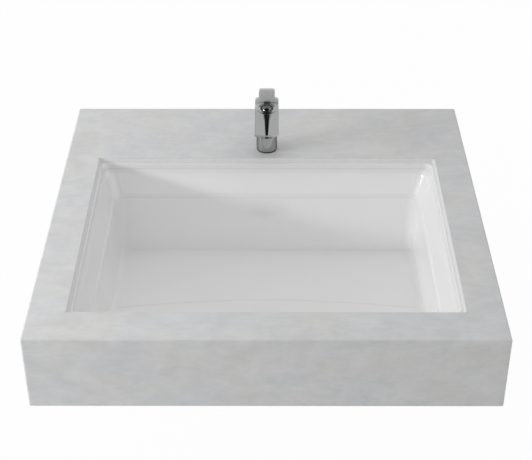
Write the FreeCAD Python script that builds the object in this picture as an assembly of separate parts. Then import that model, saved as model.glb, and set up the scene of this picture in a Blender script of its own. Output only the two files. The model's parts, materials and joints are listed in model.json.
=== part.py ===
import FreeCAD, Part
import math
import os

V = FreeCAD.Vector

# Frame: X to the right, Y to the wall, Z up, millimetres.
# The origin is on the underside of the stone, on the centre line, in the middle of the rear strip
# that lies on the cabinet's back rail.

# Stone top
top_width = 579.0
top_depth = 560.0
stone_thick = 12.0
apron_height = 105.0
arris_radius = 2.5
rear_strip = 40.0

# Stone left around the cut-out for the basin
side_border = 47.0
front_border = 53.0
rear_border = 147.0

# Basin
seal_thick = 1.0
bead_setback = 2.5
joint_setback = 0.5
rim_overlap = 12.0
rim_thick = 11.0
rim_corner = 14.0
basin_wall = 10.0
lip_rise = 7.0
lip_gap = 0.5
lip_edge_corner = 3.0
lip_inset = 5.5
lip_corner = 12.0
lip_bend = 2.5
ledge_inset = 6.6
ledge_depth = 0.5
shoulder_inset = 10.2
shoulder_depth = 7.0
shoulder_corner = 19.0
step_inset = 19.0
step_depth = 36.0
step_width = 3.2
step_drop = 4.5
step_corner = 20.0
foot_inset = 27.0
foot_depth = 131.0
foot_corner = 14.0
floor_ring = 20.0
floor_ring_fall = 2.0
floor_fall = 8.0
small_bend = 1.5
foot_bend = 2.5
bend_step = 15.0

# Overflow in the front wall, and its duct to the waste
overflow_radius = 9.0
overflow_depth = 53.0
duct_half_width = 18.0
duct_thick = 10.0
duct_wall = 7.0
duct_knee_run = 23.0
duct_knee_fall = 22.0

# Waste
drain_from_front = 159.0
drain_hole_radius = 22.5
drain_boss_radius = 36.0
drain_boss_height = 30.0
drain_flat_radius = 33.0
flange_radius = 31.5
flange_thick = 2.5
flange_seal_thick = 1.0
mouth_radius = 22.0
mouth_depth = 6.5
drain_hub_height = 11.0
drain_tube_radius = 20.0
drain_bore_radius = 17.0
drain_tube_below_nut = 10.0
overflow_slot_width = 12.0
gasket_radius = 31.0
gasket_thick = 6.0
gasket_lip = 4.0
drain_washer_radius = 30.0
drain_washer_thick = 1.5
locknut_flats = 52.0
locknut_thick = 8.5
spider_bar = 6.0
spider_root = 1.0
spider_height = 5.0
spider_hub_radius = 8.0

# Plug and its click cartridge
plug_radius = 24.0
plug_edge = 3.0
plug_crown = 2.0
plug_travel = 8.0
plug_seat_gap = 0.6
plug_seal_radius = 19.6
plug_seal_bore = 14.0
plug_seal_thick = 3.0
plug_boss_radius = 6.0
plug_boss_height = 5.0
plug_stem_radius = 3.5
click_radius = 6.0
click_height = 30.0
click_grip = 12.4
click_floor = 2.0
click_spigot_radius = 3.0
spring_wire = 0.7

# Tailpiece
tail_radius = 16.0
tail_bore_radius = 14.6
tail_length = 72.0
tail_thread = 12.0
tail_shoulder_radius = 19.5
tail_shoulder_thick = 3.0
tail_washer_thick = 1.0

# Clips that hold the basin to the stone
clip_half_spacing = 150.0
clip_width = 20.0
clip_thick = 2.0
clip_bite = 8.0
clip_stud_reach = 10.0
clip_reach = 22.0
stud_radius = 2.5
stud_tail = 12.0
anchor_radius = 4.5
anchor_depth = 8.0
anchor_cap = 1.0
clip_hole_gap = 0.5
clip_washer_radius = 6.5
clip_washer_thick = 1.2
wing_hub_radius = 5.0
wing_hub_height = 7.0
wing_span = 12.0
wing_thick = 2.0
wing_rise = 5.0

# Tap body
column_radius = 15.0
column_ease = 1.5
head_half_width = 17.0
head_rear = 19.5
head_corner = 2.5
head_top = 66.0
crown_rear = 95.0
crown_tip = 26.0
spout_reach = 67.0
spout_bow = 7.0
spout_slope = 5.0
spout_lip = 2.5
nose_run = 26.0
nose_drop = 12.0
underside_height = 36.0
base_seal_thick = 1.2
base_seal_width = 2.3
socket_height = 11.0
inlet_radius = 4.0
inlet_offset = 4.7
inlet_height = 15.0
passage_radius = 2.6
waterway_radius = 3.2

# Shank and fixing under the deck
shank_radius = 12.0
shank_bore_radius = 10.0
shank_tail = 6.0
deck_hole_gap = 0.6
fixing_radius = 15.2
fixing_rim_gap = 0.8
rubber_washer_thick = 3.0
steel_washer_thick = 2.0
ring_nut_thick = 8.0
spanner_slot = 3.0

# Lever: a ball on an axle, and behind it an upright plate whose shoulders narrow to a paddle
ball_radius = 7.8
ball_drop = 3.0
ball_gap = 0.35
lever_clear = 0.5
web_width = 8.0
web_height = 1.9
web_tip = 3.0
plate_thick = 5.0
plate_ease = 0.6
shoulder_rise = 8.2
paddle_width = 23.0
paddle_rise = 22.5
paddle_round = 3.0
paddle_root = 1.5
axle_radius = 1.2
axle_cover = 0.5
tail_rod_radius = 1.9
tail_ball_radius = 2.5
lever_tilt = 18.0

# Cartridge under the ball
cartridge_bore = 12.6
collar_radius = 13.4
collar_proud = 0.5
wiper_radius = 9.3
yoke_radius = 12.2
yoke_below_axle = 3.3
yoke_spigot = 10.3
ring_height = 3.5
ring_bore = 10.6
rotor_radius = 11.1
rotor_thick = 5.2
cheek_inner = 7.9
cheek_outer = 10.4
cheek_half_length = 4.0
carrier_thick = 5.5
carrier_floor = 0.8
carrier_radius = 8.6
carrier_half_width = 7.6
moving_disc_thick = 4.0
fixed_disc_thick = 3.5
fixed_disc_radius = 10.9
housing_wall = 1.1
housing_base = 3.5
inlet_seal_thick = 1.0
inlet_seal_radius = 4.2
disc_port_radius = 2.4

# Aerator in the nose of the spout
aerator_radius = 7.5
aerator_bore = 6.0
aerator_depth = 5.0
aerator_proud = 3.0
aerator_washer_thick = 1.0
aerator_washer_bore = 5.0
aerator_insert_thick = 2.5
aerator_jet_radius = 0.6
aerator_jet_rings = 2
aerator_jet_pitch = 2.2

# Clearances
thread_gap = 0.05
running_gap = 0.05
slide_gap = 0.3
stack_gap = 0.4
face_gap = 0.05

# Places worked out from the sizes
back_y = rear_strip / 2
front_y = back_y - top_depth
cut_back = back_y - rear_border
cut_front = front_y + front_border
cutout_half = top_width / 2 - side_border
rim_top = -seal_thick
rim_bottom = rim_top - rim_thick
tap_y = cut_back + rim_overlap + fixing_radius + fixing_rim_gap
drain_y = cut_front + drain_from_front
drain_z = rim_top - foot_depth - floor_fall
nodes = {}


def box(x0, x1, y0, y1, z0, z1):
    return Part.makeBox(x1 - x0, y1 - y0, z1 - z0, V(x0, y0, z0))


def cylinder(radius, z0, z1, x=0.0, y=0.0):
    return Part.makeCylinder(radius, z1 - z0, V(x, y, z0))


def ring(outer, inner, z0, z1, x=0.0, y=0.0):
    return cylinder(outer, z0, z1, x, y).cut(cylinder(inner, z0, z1, x, y))


def prism(points, along):
    outline = Part.makePolygon(points + [points[0]])
    return Part.Face(outline).extrude(along)


def turned(points, x, y):
    """Solid of revolution from (radius, height) points about the upright axis at x, y."""
    corners = [V(x + radius, y, height) for radius, height in points]
    outline = Part.makePolygon(corners + [corners[0]])
    return Part.Face(outline).revolve(V(x, y, 0), V(0, 0, 1), 360)


def fuse_all(shapes):
    return shapes[0].multiFuse(shapes[1:]).removeSplitter()


def arc_edge(start, middle, finish):
    return Part.Arc(start, middle, finish).toShape()


def rounded_rectangle(half_x, y0, y1, corner, z):
    """Wire of four lines and four corner arcs, counter-clockwise from the front left."""
    inner_x = half_x - corner
    low_y = y0 + corner
    high_y = y1 - corner
    centres = [(inner_x, low_y, -90), (inner_x, high_y, 0)]
    centres += [(-inner_x, high_y, 90), (-inner_x, low_y, 180)]
    edges = []
    last = V(-inner_x, y0, z)
    for x, y, begin in centres:
        turn = [math.radians(begin + share) for share in (0, 45, 90)]
        points = [V(x + corner * math.cos(a), y + corner * math.sin(a), z) for a in turn]
        edges.append(Part.makeLine(last, points[0]))
        edges.append(arc_edge(*points))
        last = points[2]
    return Part.Wire(edges)


def eight_arcs(radius, x, y, z):
    """Circle cut into eight arcs that answer the edges of a rounded rectangle."""
    edges = []
    begin = -120.0
    for sweep in (60, 30) * 4:
        turn = [math.radians(begin + sweep * share) for share in (0, 0.5, 1)]
        points = [V(x + radius * math.cos(a), y + radius * math.sin(a), z) for a in turn]
        edges.append(arc_edge(*points))
        begin += sweep
    return Part.Wire(edges)


def loft(wires):
    return Part.makeLoft(wires, True, True)


def basin_level(inset, depth, corner):
    half_x = cutout_half - inset
    return rounded_rectangle(half_x, cut_front + inset, cut_back - inset, corner, rim_top - depth)


def softened(corners):
    """Points (inset, depth) along a profile whose corners (inset, depth, bend radius) are rounded."""
    path = []
    for before, here, after in zip(corners, corners[1:], corners[2:]):
        corner = V(here[0], here[1], 0)
        back = (V(before[0], before[1], 0) - corner).normalize()
        ahead = (V(after[0], after[1], 0) - corner).normalize()
        half = back.getAngle(ahead) / 2
        bend = here[2]
        centre = corner + (back + ahead).normalize() * (bend / math.sin(half))
        first = corner + back * (bend / math.tan(half)) - centre
        last = corner + ahead * (bend / math.tan(half)) - centre
        sweep = math.pi - 2 * half
        steps = max(2, math.ceil(math.degrees(sweep) / bend_step))
        for k in range(steps + 1):
            turn = sweep * k / steps
            near = first * (math.sin(sweep - turn) / math.sin(sweep))
            spoke = near + last * (math.sin(turn) / math.sin(sweep))
            path.append((centre.x + spoke.x, centre.y + spoke.y))
    path.append((corners[-1][0], corners[-1][1]))
    return path


def plan_corner(depth):
    """Corner radius in plan, which grows from the lip to the foot of the bowl."""
    marks = [(0, lip_corner), (shoulder_depth, shoulder_corner)]
    marks += [(step_depth, step_corner), (foot_depth, foot_corner)]
    for (top, small), (bottom, large) in zip(marks, marks[1:]):
        if depth <= bottom:
            share = max(0.0, (depth - top) / (bottom - top))
            return small + (large - small) * share
    return foot_corner


def make_stone():
    """Slab and three aprons, mitred along the arris, with one eased edge over all of them."""
    half = top_width / 2
    low = stone_thick - apron_height
    envelope = box(-half, half, front_y, back_y, low, stone_thick)
    eased = []
    for edge in envelope.Edges:
        middle = edge.CenterOfMass
        on_front = middle.y < front_y + arris_radius
        on_side = abs(middle.x) > half - arris_radius and middle.y < back_y - arris_radius
        if on_front or on_side:
            eased.append(edge)
    envelope = envelope.makeFillet(arris_radius, eased)

    across = [V(-half, front_y, stone_thick), V(-half + stone_thick, front_y, 0)]
    across += [V(half - stone_thick, front_y, 0), V(half, front_y, stone_thick)]
    lengthways = [V(-half, front_y, stone_thick), V(-half, front_y + stone_thick, 0)]
    lengthways += [V(-half, back_y, 0), V(-half, back_y, stone_thick)]
    slab = prism(across, V(0, top_depth, 0)).common(prism(lengthways, V(top_width, 0, 0)))
    slab = slab.common(envelope)
    slab = slab.cut(box(-cutout_half, cutout_half, cut_front, cut_back, 0, stone_thick))
    slab = slab.cut(cylinder(shank_radius + deck_hole_gap, 0, stone_thick, 0, tap_y))
    for x, y, outward in clip_places():
        slab = slab.cut(cylinder(anchor_radius + thread_gap, 0, anchor_depth, x, y))
    nodes["countertop_slab"] = slab

    front_plan = [V(-half, front_y, low), V(half, front_y, low)]
    front_plan += [V(half - stone_thick, front_y + stone_thick, low)]
    front_plan += [V(-half + stone_thick, front_y + stone_thick, low)]
    front_section = [V(-half, front_y, stone_thick), V(-half, front_y, low)]
    front_section += [V(-half, front_y + stone_thick, low), V(-half, front_y + stone_thick, 0)]
    front = prism(front_plan, V(0, 0, apron_height)).common(prism(front_section, V(top_width, 0, 0)))
    nodes["front_apron"] = front.common(envelope)
    for name, side in (("left_apron", -1), ("right_apron", 1)):
        outer = side * half
        inner = side * (half - stone_thick)
        plan = [V(outer, front_y, low), V(inner, front_y + stone_thick, low), V(inner, back_y, low)]
        plan += [V(outer, back_y, low)]
        section = [V(outer, front_y, stone_thick), V(outer, front_y, low), V(inner, front_y, low)]
        section += [V(inner, front_y, 0)]
        apron = prism(plan, V(0, 0, apron_height)).common(prism(section, V(0, top_depth, 0)))
        nodes[name] = apron.common(envelope)


def clip_places():
    """Stud places (x, y) and the outward direction of each clip."""
    places = []
    for x in (-clip_half_spacing, clip_half_spacing):
        places.append((x, cut_front - rim_overlap - clip_stud_reach, -1))
        places.append((x, cut_back + rim_overlap + clip_stud_reach, 1))
    return places


def bowl_cavity():
    corners = [(0, -lip_rise), (lip_inset, -lip_rise, lip_bend), (ledge_inset, ledge_depth, small_bend)]
    corners += [(shoulder_inset, shoulder_depth, small_bend), (step_inset, step_depth, small_bend)]
    corners += [(step_inset + step_width, step_depth + step_drop, small_bend)]
    corners += [(foot_inset, foot_depth, foot_bend)]
    corners += [(foot_inset + floor_ring, foot_depth + floor_ring_fall)]
    path = softened(corners)
    wires = [basin_level(path[0][0], -lip_rise - seal_thick, lip_corner)]
    wires += [basin_level(inset, depth, plan_corner(depth)) for inset, depth in path]
    wires.append(eight_arcs(drain_flat_radius, 0, drain_y, drain_z))
    return loft(wires)


def bowl_outside():
    rim = Part.Face(basin_level(-rim_overlap, rim_thick, rim_corner)).extrude(V(0, 0, rim_thick))
    lip = Part.Face(basin_level(lip_gap, rim_thick, lip_edge_corner))
    lip = lip.extrude(V(0, 0, rim_thick + lip_rise))
    levels = [(shoulder_inset - basin_wall, rim_thick / 2, shoulder_corner)]
    levels += [(step_inset + step_width - basin_wall, step_depth + step_drop, step_corner)]
    levels += [(foot_inset - basin_wall, foot_depth - basin_wall / 2, foot_corner)]
    levels += [(foot_inset + basin_wall / 2, foot_depth + basin_wall, foot_corner)]
    wires = [basin_level(*level) for level in levels]
    wires.append(eight_arcs(drain_boss_radius, 0, drain_y, drain_z - basin_wall))
    boss = cylinder(drain_boss_radius, drain_z - drain_boss_height, drain_z - basin_wall / 2, 0, drain_y)
    return fuse_all([rim, lip, loft(wires), boss])


def make_basin():
    """Rim, stepped bowl, waste boss and overflow duct in one piece of ceramic."""
    duct_front = cut_front + step_inset + step_width - basin_wall - duct_thick + duct_wall / 2
    duct_back = duct_front + duct_thick
    duct_floor = drain_z - drain_boss_height + duct_wall
    hole_z = rim_top - overflow_depth
    crest = hole_z + overflow_radius
    knee = rim_top - foot_depth + duct_wall / 2
    mitre = duct_thick * math.tan(math.pi / 8)
    ramp_y = duct_front + duct_knee_run
    ramp_z = knee - duct_knee_fall
    route = [(duct_front, crest), (duct_front, knee), (ramp_y, ramp_z)]
    route += [(drain_y, duct_floor), (drain_y, duct_floor + duct_thick)]
    route += [(ramp_y + mitre, ramp_z + duct_thick), (duct_back, knee + mitre), (duct_back, crest)]
    corners = [V(-duct_half_width, y, z) for y, z in route]
    inner = Part.makePolygon(corners + [corners[0]])
    outer = inner.makeOffset2D(duct_wall, 2)
    duct_void = Part.Face(inner).extrude(V(2 * duct_half_width, 0, 0))
    casing = Part.Face(outer).extrude(V(2 * duct_half_width + 2 * duct_wall, 0, 0))
    casing = casing.translated(V(-duct_wall, 0, 0)).common(
        box(-top_width, top_width, front_y, drain_y, drain_z - drain_boss_height, rim_top))
    cavity = bowl_cavity()
    outside = bowl_outside().fuse(casing).removeSplitter()
    reach = foot_inset + foot_bend
    inside = V(0, duct_front + duct_thick / 2, hole_z)
    mouth = Part.makeCylinder(overflow_radius, reach, inside, V(0, 1, 0))
    hole = cylinder(drain_hole_radius, drain_z - drain_boss_height, drain_z, 0, drain_y)
    basin = outside.cut(cavity)
    for void in (duct_void, mouth, hole):
        basin = basin.cut(void)
    nodes["basin"] = basin

    outer = basin_level(bead_setback - rim_overlap, 0, rim_corner)
    bead = Part.Face(outer).extrude(V(0, 0, seal_thick))
    joint_top = rim_top + lip_rise - joint_setback
    joint = box(-cutout_half, cutout_half, cut_front, cut_back, rim_top, joint_top)
    lip = Part.Face(basin_level(lip_gap, 0, lip_edge_corner)).extrude(V(0, 0, lip_rise))
    nodes["sealant_bead"] = bead.fuse(joint).removeSplitter().cut(lip)
    return duct_floor


def make_clips():
    """Anchors in the stone, studs, clips over the rim, washers and wing nuts."""
    anchors, studs, clips, washers, nuts = [], [], [], [], []
    plate_low = rim_bottom - clip_thick
    washer_low = plate_low - clip_washer_thick
    nut_low = washer_low - wing_hub_height
    for x, y, outward in clip_places():
        bore = cylinder(stud_radius + thread_gap, 0, anchor_depth - anchor_cap, x, y)
        anchors.append(cylinder(anchor_radius, 0, anchor_depth, x, y).cut(bore))
        studs.append(cylinder(stud_radius, nut_low - stud_tail / 2, anchor_depth - anchor_cap, x, y))
        edge = y - outward * clip_stud_reach
        inner = edge - outward * clip_bite
        outer = edge + outward * clip_reach
        knee = outer - outward * clip_thick
        x0 = x - clip_width / 2
        x1 = x + clip_width / 2
        plate = box(x0, x1, min(inner, outer), max(inner, outer), plate_low, rim_bottom)
        leg = box(x0, x1, min(knee, outer), max(knee, outer), plate_low, 0)
        loose = stud_radius + clip_hole_gap
        hole = cylinder(loose, plate_low, rim_bottom, x, y)
        clips.append(plate.fuse(leg).removeSplitter().cut(hole))
        washers.append(ring(clip_washer_radius, loose, washer_low, plate_low, x, y))
        hub = cylinder(wing_hub_radius, nut_low, washer_low, x, y)
        wings = box(x - wing_span, x + wing_span, y - wing_thick / 2, y + wing_thick / 2,
                    nut_low - wing_rise, nut_low + wing_rise)
        gap = box(x - wing_hub_radius, x + wing_hub_radius, y - wing_thick, y + wing_thick,
                  nut_low - wing_rise, nut_low)
        thread = cylinder(stud_radius + thread_gap, nut_low - wing_rise, washer_low, x, y)
        nuts.append(hub.fuse(wings.cut(gap)).removeSplitter().cut(thread))
    nodes["clip_anchors"] = Part.makeCompound(anchors)
    nodes["clip_studs"] = Part.makeCompound(studs)
    nodes["basin_clips"] = Part.makeCompound(clips)
    nodes["clip_washers"] = Part.makeCompound(washers)
    nodes["clip_wing_nuts"] = Part.makeCompound(nuts)


def make_waste(duct_floor):
    """Drain body, its seals and nut, and the tailpiece."""
    seat = drain_z + flange_seal_thick
    flange_top = seat + flange_thick
    boss_low = drain_z - drain_boss_height
    gasket_low = boss_low - gasket_thick
    washer_low = gasket_low - drain_washer_thick
    nut_low = washer_low - locknut_thick
    tube_low = nut_low - drain_tube_below_nut
    spider_top = washer_low
    spider_low = spider_top - spider_height
    hub_radius = drain_hole_radius - slide_gap

    seal_radius = flange_radius - flange_thick
    nodes["flange_seal"] = ring(seal_radius, drain_hole_radius, drain_z, seat, 0, drain_y)
    hub_low = seat - drain_hub_height
    section = [(drain_bore_radius, tube_low), (drain_tube_radius, tube_low)]
    section += [(drain_tube_radius, hub_low), (hub_radius, hub_low)]
    section += [(hub_radius, seat), (flange_radius, seat)]
    section += [(flange_radius, seat + flange_thick / 2), (seal_radius, flange_top)]
    section += [(mouth_radius, flange_top), (drain_bore_radius, flange_top - mouth_depth)]
    body = turned(section, 0, drain_y)
    slots = [box(-overflow_slot_width / 2, overflow_slot_width / 2, -gasket_radius, gasket_radius,
                 duct_floor, duct_floor + duct_thick)]
    slots.append(slots[0].rotated(V(0, 0, 0), V(0, 0, 1), 90))
    inside = cylinder(drain_bore_radius, tube_low, flange_top)
    for slot in slots:
        slot = slot.cut(inside)
        body = body.cut(slot.translated(V(0, drain_y, 0)))
    bar_half = drain_bore_radius + spider_root
    bars = [box(-bar_half, bar_half, -spider_bar / 2, spider_bar / 2, spider_low, spider_top)]
    bars.append(bars[0].rotated(V(0, 0, 0), V(0, 0, 1), 90))
    bars.append(cylinder(spider_hub_radius, spider_low, spider_top))
    spider = fuse_all(bars).cut(cylinder(click_spigot_radius + thread_gap, spider_low, spider_top))
    nodes["drain_body"] = body.fuse(spider.translated(V(0, drain_y, 0))).removeSplitter()

    hugging = drain_tube_radius + slide_gap
    lip_top = boss_low + gasket_lip
    section = [(hugging, gasket_low), (gasket_radius, gasket_low), (gasket_radius, boss_low)]
    section += [(hub_radius, boss_low), (hugging + face_gap, lip_top), (hugging, lip_top)]
    nodes["drain_gasket"] = turned(section, 0, drain_y)
    nodes["drain_washer"] = ring(drain_washer_radius, hugging, washer_low, gasket_low, 0, drain_y)
    corner = V(locknut_flats / math.sqrt(3), 0, 0)
    hexagon = []
    for k in range(6):
        spoke = FreeCAD.Rotation(V(0, 0, 1), 60 * k).multVec(corner)
        hexagon.append(spoke + V(0, drain_y, nut_low))
    nut = prism(hexagon, V(0, 0, locknut_thick))
    thread = cylinder(drain_tube_radius + thread_gap, nut_low, washer_low, 0, drain_y)
    nodes["drain_locknut"] = nut.cut(thread)

    thread_top = tube_low + tail_thread
    shoulder_top = tube_low - tail_washer_thick
    shoulder_low = shoulder_top - tail_shoulder_thick
    thread_radius = drain_bore_radius - thread_gap
    nodes["tailpiece_washer"] = ring(
        tail_shoulder_radius, drain_bore_radius, shoulder_top, tube_low, 0, drain_y)
    tail_low = tube_low - tail_length
    section = [(tail_bore_radius, tail_low), (tail_radius, tail_low), (tail_radius, shoulder_low)]
    section += [(tail_shoulder_radius, shoulder_low), (tail_shoulder_radius, shoulder_top)]
    section += [(thread_radius, shoulder_top), (thread_radius, thread_top)]
    section += [(tail_bore_radius, thread_top)]
    nodes["tailpiece"] = turned(section, 0, drain_y)
    make_plug(flange_top, spider_top, spider_low)


def make_plug(flange_top, spider_top, spider_low):
    """Plug cap, seal and stem, pressed shut, with the click cartridge that lets them rise."""
    cap_low = flange_top + plug_seat_gap
    cap_high = cap_low + plug_edge
    sphere_radius = (plug_radius ** 2 + plug_crown ** 2) / (2 * plug_crown)
    dome = Part.makeSphere(sphere_radius, V(0, drain_y, cap_high + plug_crown - sphere_radius))
    cap = cylinder(plug_radius, cap_low, cap_high + plug_crown, 0, drain_y).common(dome)
    boss_low = cap_low - plug_boss_height
    boss = cylinder(plug_boss_radius, boss_low, cap_low, 0, drain_y)
    socket = cylinder(plug_stem_radius + thread_gap, boss_low, cap_low, 0, drain_y)
    nodes["drain_plug"] = cap.fuse(boss).removeSplitter().cut(socket)
    seal_low = cap_low - plug_seal_thick
    nodes["plug_seal"] = ring(plug_seal_radius, plug_seal_bore, seal_low, cap_low, 0, drain_y)
    click_top = spider_top + click_height
    stem_low = click_top - click_grip - plug_travel
    nodes["plug_stem"] = cylinder(plug_stem_radius, stem_low, cap_low, 0, drain_y)
    bore_low = spider_top + click_floor
    shell = cylinder(click_radius, spider_top, click_top, 0, drain_y)
    shell = shell.cut(cylinder(plug_stem_radius + running_gap, bore_low, click_top, 0, drain_y))
    spigot = cylinder(click_spigot_radius, spider_low, spider_top, 0, drain_y)
    nodes["click_cartridge"] = shell.fuse(spigot).removeSplitter()
    spring_outer = plug_stem_radius - slide_gap
    nodes["plug_spring"] = ring(spring_outer, spring_outer - spring_wire, bore_low, stem_low, 0, drain_y)


def tap_point(forward, height):
    return V(0, tap_y - forward, stone_thick + height)


def tap_cylinder(radius, low, high, x=0.0):
    return cylinder(radius, stone_thick + low, stone_thick + high, x, tap_y)


def tap_ring(outer, inner, low, high):
    return tap_cylinder(outer, low, high).cut(tap_cylinder(inner, low, high))


def tap_box(half_x, forward0, forward1, low, high):
    base = stone_thick
    return box(-half_x, half_x, tap_y - forward1, tap_y - forward0, base + low, base + high)


# Heights above the deck, stacked down from the ball and its axle
pivot_height = head_top - ball_drop
yoke_top = pivot_height + axle_radius + axle_cover
collar_low = yoke_top + stack_gap
yoke_low = pivot_height - yoke_below_axle
ring_top = yoke_low - slide_gap
ring_low = ring_top - ring_height
rotor_top = ring_low - stack_gap
rotor_low = rotor_top - rotor_thick
carrier_top = rotor_low - stack_gap
carrier_low = carrier_top - carrier_thick
disc_low = carrier_low - moving_disc_thick
fixed_top = disc_low - face_gap
fixed_low = fixed_top - fixed_disc_thick
housing_low = fixed_low - housing_base
bore_floor = housing_low - inlet_seal_thick
housing_inner = cartridge_bore - thread_gap - housing_wall
tail_height = carrier_low + carrier_floor + ball_gap + tail_ball_radius
tail_lever = pivot_height - tail_height
disc_travel = tail_lever * math.radians(lever_tilt)
waterway_height = carrier_low
slope_rise = math.tan(math.radians(spout_slope))
plate_low = head_top + slope_rise * head_rear + lever_clear
lip_low = head_top - slope_rise * spout_reach - spout_lip


def crown_solid():
    """Cone along the spout, flat at the head and rounder at the tip, whose ridge tops them both."""
    lean = math.radians(spout_slope)
    start = underside_height - head_top - head_rear
    ridge = (spout_reach + head_corner - start) / math.cos(lean)
    narrowing = math.asin((crown_rear - crown_tip) / ridge)
    tilt = lean - narrowing
    along = V(0, -math.cos(tilt), -math.sin(tilt))
    upward = V(0, -math.sin(tilt), math.cos(tilt))
    behind = tap_point(start, head_top - start * slope_rise) - upward * crown_rear
    return Part.makeCone(crown_rear, crown_tip, ridge * math.cos(narrowing), behind, along)


def spout_solid():
    """Head and spout: plan outline, side profile and crown, intersected."""
    above = 2 * head_top
    square = head_half_width - head_corner
    diagonal = head_half_width - head_corner * (1 - math.sqrt(0.5))
    rear_diagonal = head_rear - head_corner * (1 - math.sqrt(0.5))
    edges = []
    for side in (1, -1):
        tip = tap_point(spout_reach - spout_bow, 0) + V(side * head_half_width, 0, 0)
        turn = tap_point(head_corner - head_rear, 0) + V(side * head_half_width, 0, 0)
        middle = tap_point(-rear_diagonal, 0) + V(side * diagonal, 0, 0)
        rear = tap_point(-head_rear, 0) + V(side * square, 0, 0)
        edges += [Part.makeLine(tip, turn), arc_edge(turn, middle, rear)]
    edges.append(Part.makeLine(edges[1].lastVertex().Point, edges[3].lastVertex().Point))
    tips = [edges[k].firstVertex().Point for k in (0, 2)]
    edges.append(arc_edge(tips[0], tap_point(spout_reach, 0), tips[1]))
    plan_solid = Part.Face(Part.Wire(Part.sortEdges(edges)[0])).extrude(V(0, 0, above))
    nose_start = spout_reach - nose_run
    profile = [(-head_rear, underside_height), (0, underside_height)]
    profile += [(nose_start, lip_low - nose_drop), (spout_reach, lip_low)]
    profile += [(spout_reach, above), (-head_rear, above)]
    left_side = [tap_point(forward, height) - V(head_half_width, 0, 0) for forward, height in profile]
    side_solid = prism(left_side, V(2 * head_half_width, 0, 0))
    return plan_solid.common(side_solid).common(crown_solid())


def aerator_axis():
    """Middle of the nose face, and the direction that its jet leaves."""
    middle = tap_point(spout_reach - nose_run / 2, lip_low - nose_drop / 2)
    rise = math.atan2(nose_drop, nose_run)
    return middle, V(0, -math.sin(rise), -math.cos(rise))


def make_tap_body():
    column = tap_cylinder(column_radius, base_seal_thick, underside_height + column_radius)
    foot_z = stone_thick + base_seal_thick
    foot = [edge for edge in column.Edges if abs(edge.CenterOfMass.z - foot_z) < column_ease / 2]
    column = column.makeFillet(column_ease, foot)
    body = column.fuse(spout_solid()).removeSplitter()
    body = body.cut(tap_cylinder(cartridge_bore, bore_floor, collar_low))
    body = body.cut(tap_cylinder(collar_radius, collar_low, 2 * head_top))
    body = body.cut(tap_cylinder(shank_radius + thread_gap, 0, socket_height))
    for x in (-inlet_offset, inlet_offset):
        body = body.cut(tap_cylinder(inlet_radius, socket_height, socket_height + inlet_height, x))
        body = body.cut(tap_cylinder(passage_radius, socket_height, bore_floor, x))
    middle, jet = aerator_axis()
    bore_end = middle - jet * aerator_depth
    body = body.cut(Part.makeCylinder(aerator_radius + thread_gap, 2 * aerator_depth, bore_end, jet))
    begin = tap_point(cartridge_bore - housing_wall, waterway_height)
    way = bore_end - begin
    body = body.cut(Part.makeCylinder(waterway_radius, way.Length, begin, way))
    nodes["tap_body"] = body
    raised = crown_solid().translated(V(0, 0, collar_proud))
    room = Part.makeSphere(ball_radius + ball_gap, tap_point(0, pivot_height))
    collar = tap_ring(collar_radius - thread_gap, wiper_radius + running_gap, collar_low, 2 * head_top)
    nodes["ball_collar"] = collar.common(raised)
    nodes["ball_wiper"] = tap_cylinder(wiper_radius, collar_low, 2 * head_top).common(raised).cut(room)

    start = bore_end
    nodes["aerator_washer"] = Part.makeCylinder(aerator_radius, aerator_washer_thick, start, jet).cut(
        Part.makeCylinder(aerator_washer_bore, aerator_washer_thick, start, jet))
    start = bore_end + jet * aerator_washer_thick
    shell_length = aerator_depth + aerator_proud - aerator_washer_thick
    nodes["aerator_shell"] = Part.makeCylinder(aerator_radius, shell_length, start, jet).cut(
        Part.makeCylinder(aerator_bore, shell_length, start, jet))
    insert = Part.makeCylinder(aerator_bore - running_gap, aerator_insert_thick, start, jet)
    across = jet.cross(V(1, 0, 0)).normalize()
    for k in range(aerator_jet_rings + 1):
        count = max(1, 6 * k)
        spoke = across * (aerator_jet_pitch * k)
        for j in range(count):
            place = start + FreeCAD.Rotation(jet, 360.0 * j / count).multVec(spoke)
            hole = Part.makeCylinder(aerator_jet_radius, aerator_insert_thick, place, jet)
            insert = insert.cut(hole)
    nodes["aerator_insert"] = insert


def make_tap_fixing():
    """Base gasket, threaded shank, washers and ring nut."""
    loose = shank_radius + slide_gap
    nodes["tap_base_gasket"] = tap_ring(loose + base_seal_width, loose, 0, base_seal_thick)
    rubber_low = -rubber_washer_thick
    steel_low = rubber_low - steel_washer_thick
    nut_low = steel_low - ring_nut_thick
    shank_low = nut_low - shank_tail
    shank_top = stone_thick + socket_height
    nodes["tap_shank"] = ring(shank_radius, shank_bore_radius, shank_low, shank_top, 0, tap_y)
    nodes["tap_rubber_washer"] = ring(fixing_radius, loose, rubber_low, 0, 0, tap_y)
    nodes["tap_steel_washer"] = ring(fixing_radius, loose, steel_low, rubber_low, 0, tap_y)
    nut = ring(fixing_radius, shank_radius + thread_gap, nut_low, steel_low, 0, tap_y)
    notch = box(-spanner_slot / 2, spanner_slot / 2, -2 * fixing_radius, 2 * fixing_radius,
                nut_low, nut_low + spanner_slot)
    for turn in (0, 90):
        nut = nut.cut(notch.rotated(V(0, 0, 0), V(0, 0, 1), turn).translated(V(0, tap_y, 0)))
    nodes["tap_ring_nut"] = nut


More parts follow.
